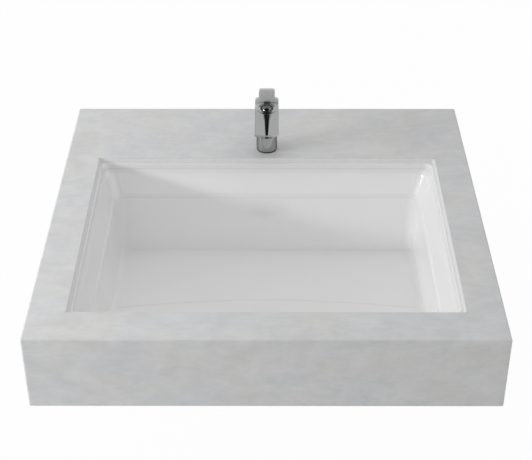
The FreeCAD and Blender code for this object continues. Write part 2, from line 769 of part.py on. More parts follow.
def plate_solid():
    """Upright plate behind the ball, drawn as its right half and mirrored."""
    half = paddle_width / 2
    bend = head_half_width - half - paddle_root
    shoulder = head_top + shoulder_rise
    top = head_top + paddle_rise

    def place(x, height):
        return tap_point(-head_rear, height) + V(x, 0, 0)

    def bow(x, height, radius, across, up):
        reach = radius * math.sqrt(0.5)
        return place(x + across * reach, height + up * reach)

    foot = [place(0, plate_low), place(head_half_width, plate_low)]
    foot.append(place(head_half_width, shoulder - bend))
    crook = place(half + paddle_root, shoulder)
    root = place(half, shoulder + paddle_root)
    rise = place(half, top - paddle_round)
    head = [place(half - paddle_round, top), place(0, top)]
    edges = [Part.makeLine(a, b) for a, b in ((foot[0], foot[1]), (foot[1], foot[2]), (root, rise),
                                              (head[0], head[1]), (head[1], foot[0]))]
    neck = half + paddle_root
    edges.append(arc_edge(foot[2], bow(neck, shoulder - bend, bend, 1, 1), crook))
    edges.append(arc_edge(crook, bow(neck, shoulder + paddle_root, paddle_root, -1, -1), root))
    edges.append(arc_edge(rise, bow(half - paddle_round, top - paddle_round, paddle_round, 1, 1), head[0]))
    side = Part.Face(Part.Wire(Part.sortEdges(edges)[0])).extrude(V(0, -plate_thick, 0))
    plate = side.fuse(side.mirror(V(0, 0, 0), V(1, 0, 0))).removeSplitter()
    rims = []
    for edge in plate.Edges:
        if edge.BoundBox.YLength < plate_thick / 2:
            rims.append(edge)
    return plate.makeFillet(plate_ease, rims)


def make_lever():
    """Ball, plate and tail in one piece, on the axle held by the yoke."""
    pivot = tap_point(0, pivot_height)
    ball = Part.makeSphere(ball_radius, pivot)
    web = tap_box(web_width / 2, plate_thick / 2 - head_rear, -web_tip, plate_low, plate_low + web_height)
    rod = tap_cylinder(tail_rod_radius, tail_height, pivot_height)
    knob = Part.makeSphere(tail_ball_radius, tap_point(0, tail_height))
    lever = fuse_all([ball, web, plate_solid(), rod, knob])
    across = V(1, 0, 0)
    begin = pivot - across * yoke_radius
    bore = Part.makeCylinder(axle_radius + running_gap, 2 * yoke_radius, begin, across)
    nodes["lever_handle"] = lever.cut(bore)
    axle_half = math.sqrt(yoke_radius ** 2 - axle_radius ** 2)
    begin = pivot - across * axle_half
    nodes["lever_axle"] = Part.makeCylinder(axle_radius, 2 * axle_half, begin, across)

    tilt = math.radians(lever_tilt)
    swing = (pivot_height - rotor_low) * math.tan(tilt) + tail_ball_radius
    slot_side = tail_rod_radius + slide_gap
    slot = tap_box(slot_side, -swing - slide_gap, slot_side, rotor_low, yoke_low)
    room = Part.makeSphere(ball_radius + ball_gap, pivot)
    yoke = tap_cylinder(yoke_radius, yoke_low, yoke_top)
    yoke = yoke.fuse(tap_cylinder(yoke_spigot, rotor_top, yoke_low)).removeSplitter()
    nodes["lever_yoke"] = yoke.cut(room).cut(bore).cut(slot)
    rotor = tap_cylinder(rotor_radius, rotor_low, rotor_top)
    for side in (-1, 1):
        inner, outer = sorted((side * cheek_inner, side * cheek_outer))
        cheek = box(inner, outer, tap_y - cheek_half_length, tap_y + cheek_half_length,
                    stone_thick + fixed_top + stack_gap, stone_thick + rotor_low)
        rotor = rotor.fuse(cheek)
    nodes["cartridge_rotor"] = rotor.removeSplitter().cut(room).cut(slot)


def carrier_outline(low, high):
    """Disc with two flats, set back by half of its travel when the tap is shut."""
    shift = V(0, -disc_travel / 2, 0)
    disc = tap_cylinder(carrier_radius, low, high).translated(shift)
    return disc.common(tap_box(carrier_half_width, -cartridge_bore, cartridge_bore, low, high))


def make_cartridge():
    """Housing, discs, seals and the ring that holds them down."""
    pocket = tap_cylinder(tail_ball_radius + ball_gap, carrier_low + carrier_floor, carrier_top)
    nodes["disc_carrier"] = carrier_outline(carrier_low, carrier_top).cut(pocket)
    recess = tap_cylinder(carrier_half_width / 2, disc_low, disc_low + moving_disc_thick / 2)
    recess = recess.translated(V(0, -disc_travel / 2, 0))
    nodes["moving_disc"] = carrier_outline(disc_low, carrier_low).cut(recess)
    fixed = tap_cylinder(fixed_disc_radius, fixed_low, fixed_top)
    snug = cartridge_bore - thread_gap
    housing = tap_ring(snug, housing_inner, fixed_low, ring_low)
    housing = housing.fuse(tap_cylinder(snug, housing_low, fixed_low)).removeSplitter()
    seals = []
    for x in (-inlet_offset, inlet_offset):
        fixed = fixed.cut(tap_cylinder(disc_port_radius, fixed_low, fixed_top, x))
        housing = housing.cut(tap_cylinder(disc_port_radius, housing_low, fixed_low, x))
        seal = tap_cylinder(inlet_seal_radius, bore_floor, housing_low, x)
        seals.append(seal.cut(tap_cylinder(passage_radius, bore_floor, housing_low, x)))
    window = tap_box(waterway_radius, 0, cartridge_bore,
                     waterway_height - waterway_radius, waterway_height + waterway_radius)
    window = window.cut(tap_cylinder(housing_inner, housing_low, ring_low))
    nodes["cartridge_housing"] = housing.cut(window)
    nodes["fixed_disc"] = fixed
    nodes["inlet_seals"] = Part.makeCompound(seals)
    nodes["retaining_ring"] = tap_ring(snug, ring_bore, ring_low, ring_top)


make_stone()
make_waste(make_basin())
make_clips()
make_tap_body()
make_tap_fixing()
make_lever()
make_cartridge()

os.makedirs("parts", exist_ok=True)
for name, shape in nodes.items():
    shape.exportStep("parts/" + name + ".step")
    valid = "valid" if shape.isValid() else "not valid"
    print(name, len(shape.Solids), "solids", round(shape.Volume), "mm3", valid)
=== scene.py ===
import json
import math

import bmesh
import bpy
from mathutils import Matrix, Vector


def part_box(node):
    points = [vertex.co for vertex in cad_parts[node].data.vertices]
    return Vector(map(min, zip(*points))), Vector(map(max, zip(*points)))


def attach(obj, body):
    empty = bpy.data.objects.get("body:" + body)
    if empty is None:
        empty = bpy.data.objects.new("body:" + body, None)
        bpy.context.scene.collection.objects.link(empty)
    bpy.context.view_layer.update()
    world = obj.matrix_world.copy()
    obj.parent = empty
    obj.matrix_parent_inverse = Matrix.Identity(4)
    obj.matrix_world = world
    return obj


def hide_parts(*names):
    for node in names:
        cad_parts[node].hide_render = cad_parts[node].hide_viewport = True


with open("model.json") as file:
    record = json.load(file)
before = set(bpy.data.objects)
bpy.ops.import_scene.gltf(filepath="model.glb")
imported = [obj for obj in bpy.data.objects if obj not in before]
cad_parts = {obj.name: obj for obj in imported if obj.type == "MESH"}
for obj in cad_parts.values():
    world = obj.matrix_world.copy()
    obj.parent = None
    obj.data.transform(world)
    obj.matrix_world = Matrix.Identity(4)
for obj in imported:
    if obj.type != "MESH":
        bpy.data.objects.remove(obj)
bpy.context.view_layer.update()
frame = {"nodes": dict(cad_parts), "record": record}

MM = 0.001

# Places taken from the solids
slab_low, slab_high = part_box("countertop_slab")
seal_low, seal_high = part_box("flange_seal")
axle_low, axle_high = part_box("lever_axle")
lever_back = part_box("lever_handle")[1].y
drain_centre = (seal_low + seal_high) / 2
drain_floor = seal_low.z
ball_centre = (axle_low + axle_high) / 2
boss_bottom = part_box("basin")[0].z
floor_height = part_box("tailpiece")[0].z

# Camera that lays the corners of the stone on those in the photograph
image_width = 532
focal_length_px = 1248.24
sensor_width = 36.0
camera_place = Vector((0.003656, -1.675518, 0.944686))
camera_pitch = math.radians(34.358)
camera_yaw = math.radians(-0.181)
camera_roll = math.radians(0.067)

# Light: a plain level from all sides, and a low key light from the left, slightly in front
fill_low = 0.525
fill_high = 0.785
sky_overhead = 0.74
sky_low = 0.15
sky_high = 0.55
key_azimuth = 12.0
key_elevation = 14.4
key_distance = 1.8
key_width = 0.5
key_height = 0.15
key_power = 13.5
key_target = Vector((0.0, -0.3, 0.0))
floor_half_size = 12.0
floor_tone = (0.8, 0.8, 0.8, 1.0)
floor_roughness = 0.9
floor_glow = 0.97

# Dark cards seen in the gloss of the tap, each as the right half of its outline
flag_target = Vector((0.0, -0.13, 0.075))
flag_distance = 2.0
flag_tone = (0.01, 0.01, 0.01, 1.0)
flag_roughness = 1.0
stem_elevation = 44.0
stem_outline = [(0.12, 0.36), (0.127, -0.122), (0.145, -0.135), (0.129, -0.15), (0.122, -0.165)]
stem_outline += [(0.131, -0.171), (0.148, -0.174), (0.168, -0.179), (0.194, -0.184), (0.22, -0.19)]
stem_outline += [(0.22, -0.3)]
dark_elevation = 60.0
dark_outline = [(2.0, 0.5), (2.0, -2.6)]

# Chrome, and where on the tap it turns from bright to brushed, or to painted shade and painted
# reflections
chrome_light = (0.52, 0.525, 0.53)
chrome_dark = (0.5, 0.505, 0.51)
chrome_edge = (0.35, 0.35, 0.35, 1.0)
bright_roughness = 0.05
# Darker chrome for the ball and the aerator; on the ball its dark tone is a painted reflection of dark
# surroundings
dark_chrome_light = (0.17, 0.172, 0.175)
dark_chrome_dark = (0.155, 0.157, 0.16)
satin_start = 8.2 * MM
satin_end = 9.5 * MM
satin_roughness = 0.45
satin_metal = 0.25
satin_tone = (0.615, 0.62, 0.625)
plate_front = lever_back - 5.0 * MM
web_shade_fade = 0.8 * MM
# Black painted in as shade in the lever's web and as a reflection on the collar
painted_dark_tone = (0.03, 0.03, 0.03)
head_centre = Vector((0.0, plate_front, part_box("tap_body")[1].z))
head_start = 17.0 * MM
head_end = 21.0 * MM
# Black patch painted on the collar as a reflection: its centre, and the reach over which it fades
reflection_flare_centre = ball_centre + Vector((0.0, -11.0, 3.0)) * MM
reflection_flare_start = 4.0 * MM
reflection_flare_end = 7.0 * MM
reflection_flare_roughness = 0.1
# Painted shade down the column: where it begins and ends, and its tone
column_fade = 44.0 * MM
column_top = 48.0 * MM
column_shade_tone = (0.46, 0.465, 0.47)

# Other finishes: light and dark tone, least and most roughness, grain scale, then stretch or bump
even = (1.0, 1.0, 1.0)
drawn = (1.0, 1.0, 0.1)
polish = (0.04, 0.07, 260.0, even)
chrome_finish = (chrome_light, chrome_dark, *polish)
ball_finish = (dark_chrome_light, dark_chrome_dark, *polish)
dark_chrome_finish = (dark_chrome_light, dark_chrome_dark, 0.1, 0.16, 260.0, even)
brass_finish = ((0.72, 0.53, 0.26), (0.62, 0.44, 0.2), 0.22, 0.34, 420.0, drawn)
steel_finish = ((0.6, 0.61, 0.62), (0.5, 0.51, 0.52), 0.25, 0.4, 300.0, drawn)
rubber_finish = ((0.03, 0.03, 0.031), (0.018, 0.018, 0.019), 0.55, 0.7, 300.0, 0.2)
silicone_finish = ((0.78, 0.78, 0.778), (0.73, 0.73, 0.728), 0.3, 0.45, 120.0, 0.1)
plastic_finish = ((0.3, 0.32, 0.33), (0.26, 0.28, 0.29), 0.35, 0.5, 200.0, 0.1)
disc_finish = ((0.8, 0.79, 0.75), (0.74, 0.73, 0.69), 0.2, 0.3, 250.0, 0.05)
dark_stop = 0.3
light_stop = 0.7
metal_grain = (4.0, 0.6)
metal_bump = (0.02, 0.1 * MM)
mottle_grain = (5.0, 0.6)
mottle_height = 0.2 * MM

# Stone, with each noise as scale, detail, roughness and distortion
cloud_stretch = (1.0, 1.3, 1.3)
cloud_noise = (34.0, 7.0, 0.62, 0.4)
cloud_stops = [(0.3, (0.683, 0.687, 0.688)), (0.5, (0.729, 0.731, 0.731)), (0.7, (0.778, 0.779, 0.777))]
# Painted shade: the stone's tone darkens from left to right, standing in for the key light falling off
# away from the lamp
painted_shade_stops = [(0.0, (1.0, 1.0, 1.0)), (1.0, (0.905, 0.905, 0.905))]
tint_stretch = (1.0, 1.0, 1.5)
tint_noise = (15.0, 3.0, 0.5)
tint_stops = [(0.36, (0.98, 0.993, 1.01)), (0.5, (1.0, 1.0, 1.0)), (0.64, (1.004, 1.0, 0.988))]
streak_stretch = (1.0, 3.2, 3.2)
streak_turn = (0.0, math.radians(14.0), math.radians(24.0))
streak_noise = (14.0, 6.0, 0.6, 0.9)
streak_stops = [(0.43, (1.0, 1.0, 1.0)), (0.5, (0.945, 0.95, 0.953)), (0.57, (1.0, 1.0, 1.0))]
streak_share = 0.7
stone_grain = (220.0, 3.0)
stone_roughness = (0.5, 0.62)
stone_bump = (0.04, 0.4 * MM)
stone_ior = 1.5

# Glaze, with painted shade lines along its edges, a painted reflection arc on its floor, and the depth to
# which light enters it
pool_noise = (7.0, 3.0)
pool_stops = [(0.3, (0.92, 0.921, 0.918)), (0.7, (0.935, 0.936, 0.933))]
# Painted shade by depth: greyer at the rim and the drain, full white low in the bowl
painted_depth_shade_stops = [(0.0, (0.925, 0.926, 0.928)), (0.93, (1.0, 1.0, 1.0)), (1.0, (0.955, 0.955, 0.955))]
shade_line_spread = 1.6 * MM
painted_line_stops = [(0.0, (1.0, 1.0, 1.0)), (0.5, (0.92, 0.92, 0.922)), (1.0, (1.0, 1.0, 1.0))]
# Painted reflection: a thin dark arc on the floor of the bowl, given by its centre, radius and spread
reflection_arc_centre = Vector((0.0, -1087.7 * MM, 0.0))
reflection_arc_radius = 822.3 * MM
reflection_arc_spread = 2.6 * MM
wave_noise = (30.0, 2.0)
glaze_roughness = (0.03, 0.06)
glaze_bump = (0.01, 0.4 * MM)
glaze_ior = 1.75
glow_weight = 0.5
glow_radius = (1.0, 1.0, 1.0)
glow_depth = 12.0 * MM

# Bowl of the basin, as insets from the cut-out and depths below the flat of the rim
cutout_half_width = 242.5 * MM
cutout_front = -487.0 * MM
cutout_back = -127.0 * MM
rim_top = -1.0 * MM
rim_overlap = 12.0 * MM
rim_thick = 11.0 * MM
rim_corner = 14.0 * MM
rim_ease = 1.5 * MM
basin_wall = 10.0 * MM
lip_rise = 7.0 * MM
lip_gap = 0.5 * MM
lip_edge_corner = 3.0 * MM
lip_inset = 5.5 * MM
lip_corner = 12.0 * MM
lip_bend = 2.5 * MM
cove_rise = 5.4 * MM
cove_width = 3.0 * MM
cove_sink = 0.1 * MM
ledge_inset = 6.6 * MM
ledge_depth = 0.5 * MM
shoulder_inset = 10.2 * MM
shoulder_depth = 7.0 * MM
shoulder_corner = 19.0 * MM
step_inset = 19.0 * MM
step_depth = 36.0 * MM
step_width = 3.2 * MM
step_drop = 4.5 * MM
step_corner = 20.0 * MM
foot_inset = 27.0 * MM
foot_depth = 131.0 * MM
foot_corner = 14.0 * MM
floor_ring = 20.0 * MM
floor_ring_fall = 2.0 * MM
small_bend = 1.5 * MM
foot_bend = 2.5 * MM
side_foot_bend = 14.0 * MM
drain_flat_radius = 33.0 * MM
drain_hole_radius = 22.5 * MM
drain_boss_radius = 36.0 * MM
overflow_radius = 9.0 * MM
overflow_depth = 53.0 * MM
duct_half_width = 18.0 * MM
duct_thick = 10.0 * MM
duct_wall = 7.0 * MM
duct_knee_run = 23.0 * MM
duct_knee_fall = 22.0 * MM
duct_rest = 0.3 * MM
side_sweep = 60.0
corner_sweep = 30.0
sharp_angle = math.radians(40.0)
round_steps = 48
bend_steps = 8
floor_steps = 24
corner_steps = 14
side_steps = 26


def new_material(name):
    """New node material, its tree and its main shader."""
    material = bpy.data.materials.new(name)
    material.use_nodes = True
    tree = material.node_tree
    return material, tree, tree.nodes["Principled BSDF"]


def object_place(tree, scale=(1.0, 1.0, 1.0), turn=(0.0, 0.0, 0.0)):
    """Place on the part in its own frame, stretched and turned."""
    place = tree.nodes.new("ShaderNodeTexCoord")
    mapping = tree.nodes.new("ShaderNodeMapping")
    mapping.inputs["Scale"].default_value = scale
    mapping.inputs["Rotation"].default_value = turn
    tree.links.new(place.outputs["Object"], mapping.inputs["Vector"])
    return mapping.outputs["Vector"]


def place_on(tree):
    """Coordinates of the place on the part, as a vector and split."""
    place = tree.nodes.new("ShaderNodeTexCoord").outputs["Object"]
    split = tree.nodes.new("ShaderNodeSeparateXYZ")
    tree.links.new(place, split.inputs["Vector"])
    return place, split.outputs


def distance_from(tree, place, centre):
    """Distance of a place on the part from a centre."""
    away = tree.nodes.new("ShaderNodeVectorMath")
    away.operation = "DISTANCE"
    away.inputs[1].default_value = centre
    tree.links.new(place, away.inputs[0])
    return away.outputs["Value"]


def noise(tree, vector, scale, detail, roughness=0.5, distortion=0.0):
    """Noise between 0 and 1 over a place."""
    node = tree.nodes.new("ShaderNodeTexNoise")
    node.inputs["Scale"].default_value = scale
    node.inputs["Detail"].default_value = detail
    node.inputs["Roughness"].default_value = roughness
    node.inputs["Distortion"].default_value = distortion
    tree.links.new(vector, node.inputs["Vector"])
    return node.outputs["Fac"]


def ramp(tree, factor, stops):
    """Colour ramp over (position, colour) stops."""
    node = tree.nodes.new("ShaderNodeValToRGB")
    elements = node.color_ramp.elements
    while len(elements) < len(stops):
        elements.new(0.5)
    for element, (position, colour) in zip(elements, stops):
        element.position = position
        element.color = (*colour, 1.0)
    tree.links.new(factor, node.inputs["Fac"])
    return node.outputs["Color"]


def map_range(tree, factor, low, high, from_low=0.0, from_high=1.0):
    """Factor brought from one range to another, held at its ends."""
    node = tree.nodes.new("ShaderNodeMapRange")
    node.inputs["From Min"].default_value = from_low
    node.inputs["From Max"].default_value = from_high
    for value, socket in ((low, "To Min"), (high, "To Max")):
        if isinstance(value, bpy.types.NodeSocket):
            tree.links.new(value, node.inputs[socket])
        else:
            node.inputs[socket].default_value = value
    tree.links.new(factor, node.inputs["Value"])
    return node.outputs["Result"]


def mix_colour(tree, kind, factor, first, second):
    """Blend of two colour sockets by a number or a socket."""
    node = tree.nodes.new("ShaderNodeMix")
    node.data_type = "RGBA"
    node.blend_type = kind
    for value, socket in ((factor, "Factor_Float"), (first, "A_Color"), (second, "B_Color")):
        target = next(s for s in node.inputs if s.identifier == socket)
        if isinstance(value, bpy.types.NodeSocket):
            tree.links.new(value, target)
        else:
            target.default_value = value if isinstance(value, float) else (*value, 1.0)
    return next(s for s in node.outputs if s.identifier == "Result_Color")


def add_bump(tree, shader, height, strength, distance):
    """Fine relief in the surface."""
    node = tree.nodes.new("ShaderNodeBump")
    node.inputs["Strength"].default_value = strength
    node.inputs["Distance"].default_value = distance
    tree.links.new(height, node.inputs["Height"])
    tree.links.new(node.outputs["Normal"], shader.inputs["Normal"])


def marble():
    """Pale grey stone with painted shade that darkens it towards the right, and with fine clouds, slanted
    streaks and faint tints.
    """
    material, tree, shader = new_material("marble")
    cloud = noise(tree, object_place(tree, cloud_stretch), *cloud_noise)
    base = ramp(tree, cloud, cloud_stops)
    # Painted shade that darkens the stone towards the right
    along = map_range(tree, place_on(tree)[1]["X"], 0.0, 1.0, slab_low.x, slab_high.x)
    base = mix_colour(tree, "MULTIPLY", 1.0, base, ramp(tree, along, painted_shade_stops))
    tint = noise(tree, object_place(tree, tint_stretch), *tint_noise)
    base = mix_colour(tree, "MULTIPLY", 1.0, base, ramp(tree, tint, tint_stops))
    streak = noise(tree, object_place(tree, streak_stretch, streak_turn), *streak_noise)
    base = mix_colour(tree, "MULTIPLY", streak_share, base, ramp(tree, streak, streak_stops))
    tree.links.new(base, shader.inputs["Base Color"])
    grain = noise(tree, object_place(tree), *stone_grain)
    tree.links.new(map_range(tree, grain, *stone_roughness), shader.inputs["Roughness"])
    add_bump(tree, shader, grain, *stone_bump)
    shader.inputs["IOR"].default_value = stone_ior
    return material


def glaze():
    """White glaze with painted shade, greyer at the rim and the drain, painted shade lines along its
    edges and a painted reflection arc on the floor.
    """
    material, tree, shader = new_material("glaze")
    pool = noise(tree, object_place(tree), *pool_noise)
    tone = ramp(tree, pool, pool_stops)
    split = place_on(tree)[1]
    depth = map_range(tree, split["Z"], 1.0, 0.0, drain_floor, rim_top)
    # Painted shade by depth: greyer at the rim and the drain, full white low in the bowl
    tone = mix_colour(tree, "MULTIPLY", 1.0, tone, ramp(tree, depth, painted_depth_shade_stops))
    rear = map_range(tree, split["Y"], 0.0, 1.0, cutout_back - foot_inset, cutout_back - shoulder_inset)
    # Painted shade lines in the creases at the rear ledge and at the step
    for level, share in ((rim_top - ledge_depth, rear), (rim_top - step_depth - step_drop, 1.0)):
        across = map_range(tree, split["Z"], 0.0, 1.0, level - shade_line_spread, level + shade_line_spread)
        tone = mix_colour(tree, "MULTIPLY", share, tone, ramp(tree, across, painted_line_stops))
    # Painted reflection: a thin dark arc on the floor of the bowl
    flat = tree.nodes.new("ShaderNodeCombineXYZ")
    tree.links.new(split["X"], flat.inputs["X"])
    tree.links.new(split["Y"], flat.inputs["Y"])
    reach = distance_from(tree, flat.outputs["Vector"], reflection_arc_centre)
    across = map_range(tree, reach, 0.0, 1.0, reflection_arc_radius - reflection_arc_spread, reflection_arc_radius + reflection_arc_spread)
    low = map_range(tree, split["Z"], 1.0, 0.0, rim_top - foot_depth, rim_top - foot_depth + foot_bend)
    tone = mix_colour(tree, "MULTIPLY", low, tone, ramp(tree, across, painted_line_stops))
    tree.links.new(tone, shader.inputs["Base Color"])
    wave = noise(tree, object_place(tree), *wave_noise)
    tree.links.new(map_range(tree, wave, *glaze_roughness), shader.inputs["Roughness"])
    add_bump(tree, shader, wave, *glaze_bump)
    shader.inputs["IOR"].default_value = glaze_ior
    shader.inputs["Subsurface Weight"].default_value = glow_weight
    shader.inputs["Subsurface Radius"].default_value = glow_radius
    shader.inputs["Subsurface Scale"].default_value = glow_depth
    return material


def metal(name, light, dark, rough_low, rough_high, scale, stretch):
    """Metal whose tone and polish vary finely along the way that it was worked."""
    material, tree, shader = new_material(name)
    shader.inputs["Metallic"].default_value = 1.0
    lines = noise(tree, object_place(tree, stretch), scale, *metal_grain)
    tone = ramp(tree, lines, [(dark_stop, dark), (light_stop, light)])
    tree.links.new(tone, shader.inputs["Base Color"])
    tree.links.new(map_range(tree, lines, rough_low, rough_high), shader.inputs["Roughness"])
    add_bump(tree, shader, lines, *metal_bump)
    return material


def retone(tree, factor, tone):
    """Blend the tone of a metal towards another."""
    socket = tree.nodes["Principled BSDF"].inputs["Base Color"]
    before = socket.links[0].from_socket
    tree.links.new(mix_colour(tree, "MIX", factor, before, tone), socket)


def repolish(tree, factor, roughness):
    """Blend the polish of a bright metal towards a rougher one."""
    socket = tree.nodes["Principled BSDF"].inputs["Roughness"]
    tree.links.new(map_range(tree, factor, bright_roughness, roughness), socket)


def brush(tree, factor, tone):
    """Blend a bright metal towards a brushed dull one, which scatters part of the light."""
    retone(tree, factor, tone)
    repolish(tree, factor, satin_roughness)
    socket = tree.nodes["Principled BSDF"].inputs["Metallic"]
    tree.links.new(map_range(tree, factor, 1.0, satin_metal), socket)


def lever_metal():
    """Chrome with a dark tone on the ball as a painted reflection, brushed dull on the plate, and black
    in the web between as painted shade.
    """
    material = metal("lever_chrome", *ball_finish)
    tree = material.node_tree
    place, split = place_on(tree)
    outside = map_range(tree, distance_from(tree, place, ball_centre), 0.0, 1.0, satin_start, satin_end)
    # Painted shade: the web in front of the plate is painted black
    ahead = map_range(tree, split["Y"], 1.0, 0.0, plate_front - web_shade_fade, plate_front)
    brush(tree, outside, mix_colour(tree, "MIX", ahead, satin_tone, painted_dark_tone))
    return material


def tap_metal():
    """Chrome that is brushed dull on top behind the ball, with painted shade that darkens it down the
    column.
    """
    material = metal("tap_chrome", *chrome_finish)
    tree = material.node_tree
    tree.nodes["Principled BSDF"].inputs["Specular Tint"].default_value = chrome_edge
    place, split = place_on(tree)
    # Painted shade: the column below the spout is darkened
    retone(tree, map_range(tree, split["Z"], 1.0, 0.0, column_fade, column_top), column_shade_tone)
    head = map_range(tree, distance_from(tree, place, head_centre), 1.0, 0.0, head_start, head_end)
    brush(tree, head, satin_tone)
    return material


def collar_metal():
    """Chrome with a painted black reflection in the middle of its front, above the spout."""
    material = metal("collar_chrome", *chrome_finish)
    tree = material.node_tree
    # Painted reflection: a black patch in the middle of the collar's front
    away = distance_from(tree, place_on(tree)[0], reflection_flare_centre)
    flare = map_range(tree, away, 1.0, 0.0, reflection_flare_start, reflection_flare_end)
    retone(tree, flare, painted_dark_tone)
    repolish(tree, flare, reflection_flare_roughness)
    return material


def dull(name, light, dark, rough_low, rough_high, scale, bump):
    """Rubber, sealant, plastic or fired clay: fine mottle, uneven sheen and a slight grain."""
    material, tree, shader = new_material(name)
    mottle = noise(tree, object_place(tree), scale, *mottle_grain)
    tone = ramp(tree, mottle, [(dark_stop, dark), (light_stop, light)])
    tree.links.new(tone, shader.inputs["Base Color"])
    tree.links.new(map_range(tree, mottle, rough_low, rough_high), shader.inputs["Roughness"])
    add_bump(tree, shader, mottle, bump, mottle_height)
    return material


def make_materials():
    """Materials by slot of the record, and by node where a solid has its own."""
    return {
        "stone": marble(),
        "glaze": glaze(),
        "chrome": metal("chrome", *chrome_finish),
        "lever_handle": lever_metal(),
        "tap_body": tap_metal(),
        "ball_collar": collar_metal(),
        "aerator_shell": metal("dark_chrome", *dark_chrome_finish),
        "brass": metal("brass", *brass_finish),
        "steel": metal("steel", *steel_finish),
        "rubber": dull("rubber", *rubber_finish),
        "silicone": dull("silicone", *silicone_finish),
        "plastic": dull("plastic", *plastic_finish),
        "disc_ceramic": dull("disc_ceramic", *disc_finish),
    }


def dress_solids(materials):
    """Each solid shown as built takes its own material or that of its slot in the record."""
    for part in frame["record"]["subparts"]:
        node = frame["nodes"][part["node"]]
        node.data.materials.clear()
        node.data.materials.append(materials.get(part["node"], materials[part["material_slot"]]))


def rounded_loop(inset, depth, corner, side_inset=None, side_depth=None):
    """Points of a rounded rectangle round the cut-out, counter-clockwise from the front left."""
    if side_inset is None:
        side_inset, side_depth = inset, depth
    front = cutout_front + inset
    back = cutout_back - inset
    inner = cutout_half_width - side_inset - corner
    near = front + corner
    far = back - corner
    centres = [(inner, near, -90.0), (inner, far, 0.0), (-inner, far, 90.0), (-inner, near, 180.0)]
    points = []
    last = Vector((-inner, front, rim_top - depth))
    for x, y, begin in centres:
        arc = []
        for k in range(corner_steps + 1):
            turn = math.radians(begin + 90.0 * k / corner_steps)
            z = rim_top - depth - (side_depth - depth) * math.cos(turn) ** 2
            arc.append(Vector((x + corner * math.cos(turn), y + corner * math.sin(turn), z)))
        points += [last.lerp(arc[0], k / side_steps) for k in range(side_steps)]
        points += arc[:-1]
        last = arc[-1]
    return points


def round_loop(radius, z):
    """Circle about the drain whose points answer those of a rounded loop."""
    points = []
    begin = -90.0 - side_sweep / 2
    for sweep, steps in ((side_sweep, side_steps), (corner_sweep, corner_steps)) * 4:
        for k in range(steps):
            turn = math.radians(begin + sweep * k / steps)
            x = drain_centre.x + radius * math.cos(turn)
            points.append(Vector((x, drain_centre.y + radius * math.sin(turn), z)))
        begin += sweep
    return points


def softened(corners):
    """Points along a profile of (inset, depth, bend radius) corners, with the bends as arcs."""
    path = []
    for before, here, after in zip(corners, corners[1:], corners[2:]):
        corner = Vector(here[:2])
        bend = here[2]
        back = (Vector(before[:2]) - corner).normalized()
        ahead = (Vector(after[:2]) - corner).normalized()
        half = back.angle(ahead) / 2
        centre = corner + (back + ahead).normalized() * (bend / math.sin(half))
        first = corner + back * (bend / math.tan(half)) - centre
        last = corner + ahead * (bend / math.tan(half)) - centre
        sweep = math.pi - 2 * half
        for k in range(bend_steps + 1):
            turn = sweep * k / bend_steps
            spoke = first * (math.sin(sweep - turn) / math.sin(sweep))
            path.append(centre + spoke + last * (math.sin(turn) / math.sin(sweep)))
    path.append(Vector(corners[-1][:2]))
    return path


def plan_corner(depth):
    """Corner radius in plan, which grows from the lip to the step and shrinks to the foot."""
    marks = [(0.0, lip_corner), (shoulder_depth, shoulder_corner)]
    marks += [(step_depth, step_corner), (foot_depth, foot_corner)]
    for (top, above), (bottom, below) in zip(marks, marks[1:]):
        if depth <= bottom:
            return above + (below - above) * max(0.0, (depth - top) / (bottom - top))
    return foot_corner


def basin_loops():
    """Loops round the whole section of the basin, from the lip down the bowl and up the outside."""
    corners = [(0.0, -lip_rise), (lip_inset, -lip_rise, lip_bend), (ledge_inset, ledge_depth, small_bend)]
    corners += [(shoulder_inset, shoulder_depth, small_bend), (step_inset, step_depth, small_bend)]
    corners += [(step_inset + step_width, step_depth + step_drop, small_bend)]
    ring = (foot_inset + floor_ring, foot_depth + floor_ring_fall)
    ends = softened(corners + [(foot_inset, foot_depth, foot_bend), ring])
    sides = softened(corners + [(foot_inset, foot_depth, side_foot_bend), ring])
    loops = [rounded_loop(*end, plan_corner(end.y), *side) for end, side in zip(ends, sides)]
    edge = loops[-1]
    flat = round_loop(drain_flat_radius, drain_floor)
    for k in range(1, floor_steps + 1):
        share = k / floor_steps
        dished = share * (2.0 - share)
        ring = []
        for outer, inner in zip(edge, flat):
            point = outer.lerp(inner, share)
            point.z = outer.z + (inner.z - outer.z) * dished
            ring.append(point)
        loops.append(ring)
    loops.append(round_loop(drain_hole_radius, drain_floor))
    loops.append(round_loop(drain_hole_radius, boss_bottom))
    loops.append(round_loop(drain_boss_radius, boss_bottom))
    loops.append(round_loop(drain_boss_radius, drain_floor - basin_wall))
    loops.append(rounded_loop(foot_inset + basin_wall / 2, foot_depth + basin_wall, foot_corner))
    loops.append(rounded_loop(foot_inset - basin_wall, foot_depth - basin_wall / 2, foot_corner))
    loops.append(rounded_loop(step_inset + step_width - basin_wall, step_depth + step_drop, step_corner))
    loops.append(rounded_loop(shoulder_inset - basin_wall, rim_thick, shoulder_corner))
    loops.append(rounded_loop(-rim_overlap + rim_ease, rim_thick, rim_corner))
    loops.append(rounded_loop(-rim_overlap, rim_thick - rim_ease, rim_corner))
    loops.append(rounded_loop(-rim_overlap, 0.0, rim_corner))
    loops.append(rounded_loop(lip_gap, 0.0, lip_edge_corner))
    loops.append(rounded_loop(lip_gap, -lip_rise, lip_edge_corner))
    return loops


def mesh_piece(name, mesh):
    """Object in the scene that takes over a built mesh."""
    data = bpy.data.meshes.new(name)
    mesh.to_mesh(data)
    mesh.free()
    piece = bpy.data.objects.new(name, data)
    bpy.context.collection.objects.link(piece)
    return piece


